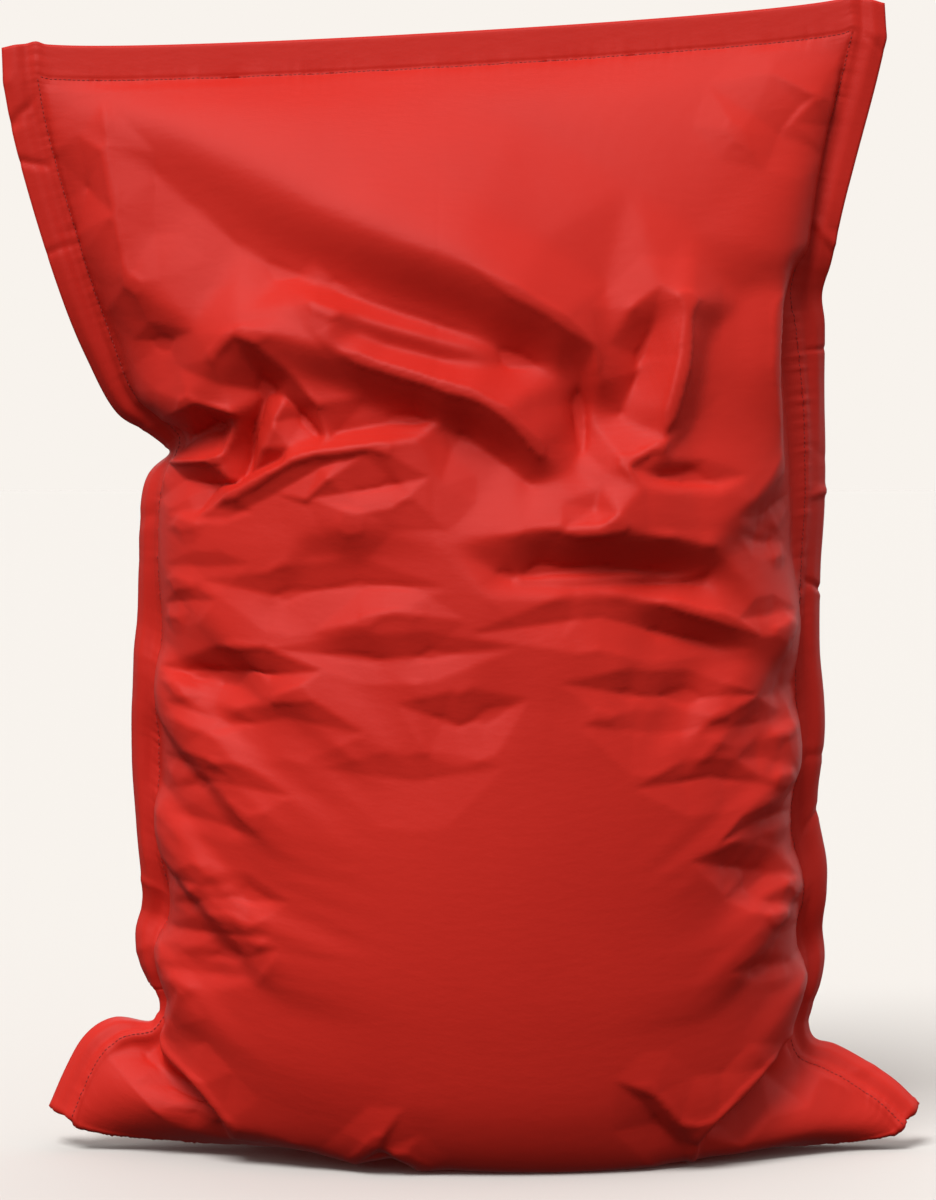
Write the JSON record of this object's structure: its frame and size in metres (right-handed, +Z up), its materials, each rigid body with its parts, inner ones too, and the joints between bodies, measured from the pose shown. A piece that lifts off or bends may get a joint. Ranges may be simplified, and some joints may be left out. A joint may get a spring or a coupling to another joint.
{
  "type": "bean bag chair",
  "caption": "Large flat pillow-type bean bag in crisp red cloth, standing on its short edge, with a stitched flat border, a flap-covered zip, a liner bag and bead fill.",
  "frame": {"origin": "on the floor, under the middle of the bounding box", "axes": "+Z up, along the bag's standing height; the front panel faces -Y and the zipped back +Y; +X to the right seen from the front"},
  "size_m": [1.0444, 0.3954, 1.3107],
  "materials": {
    "cover_cloth": "crisp coated polyester, satin sheen, fine plain weave",
    "zip_cloth": "woven zip tape, matt",
    "zip_plastic": "moulded nylon coil, satin",
    "zip_metal": "die-cast, plated, satin",
    "hook_and_loop": "matt pile",
    "label_cloth": "smooth blank tape",
    "liner_cloth": "thin matt non-woven",
    "beads": "expanded polystyrene beads"
  },
  "bodies": {
    "bag": {"front_panel": "cover_cloth", "back_panel_upper": "cover_cloth", "back_panel_lower": "cover_cloth", "liner_front": "liner_cloth", "liner_back_upper": "liner_cloth", "liner_back_lower": "liner_cloth", "bead_fill": "beads", "flap_sewn_edge": "cover_cloth", "loop_strip": "hook_and_loop", "care_label": "label_cloth", "zip_tape_upper": "zip_cloth", "zip_tape_lower": "zip_cloth", "zip_teeth_upper": "zip_plastic", "zip_teeth_lower": "zip_plastic", "zip_top_stop_upper": "zip_metal", "zip_top_stop_lower": "zip_metal", "zip_bottom_stop": "zip_metal", "liner_zip_tape_upper": "zip_cloth", "liner_zip_tape_lower": "zip_cloth", "liner_zip_teeth_upper": "zip_plastic", "liner_zip_teeth_lower": "zip_plastic", "liner_zip_top_stop_upper": "zip_metal", "liner_zip_top_stop_lower": "zip_metal", "liner_zip_bottom_stop": "zip_metal"},
    "flap": {"zip_flap": "cover_cloth", "hook_strip": "hook_and_loop"},
    "slider": {"zip_slider": "zip_metal"},
    "liner_slider": {"liner_zip_slider": "zip_metal"}
  },
  "joints": [
    {"name": "zip_slide", "type": "slide", "parent": "bag", "child": "slider", "axis": [1, 0, 0], "range_m": [-0.322, 0]},
    {"name": "flap_hinge", "type": "hinge", "parent": "bag", "child": "flap", "pos_m": [0, 0.193, 0.3385], "axis": [1, 0, 0], "range_deg": [0, 150]},
    {"name": "liner_zip_slide", "type": "slide", "parent": "bag", "child": "liner_slider", "axis": [1, 0, 0], "range_m": [-0.252, 0]}
  ]
}
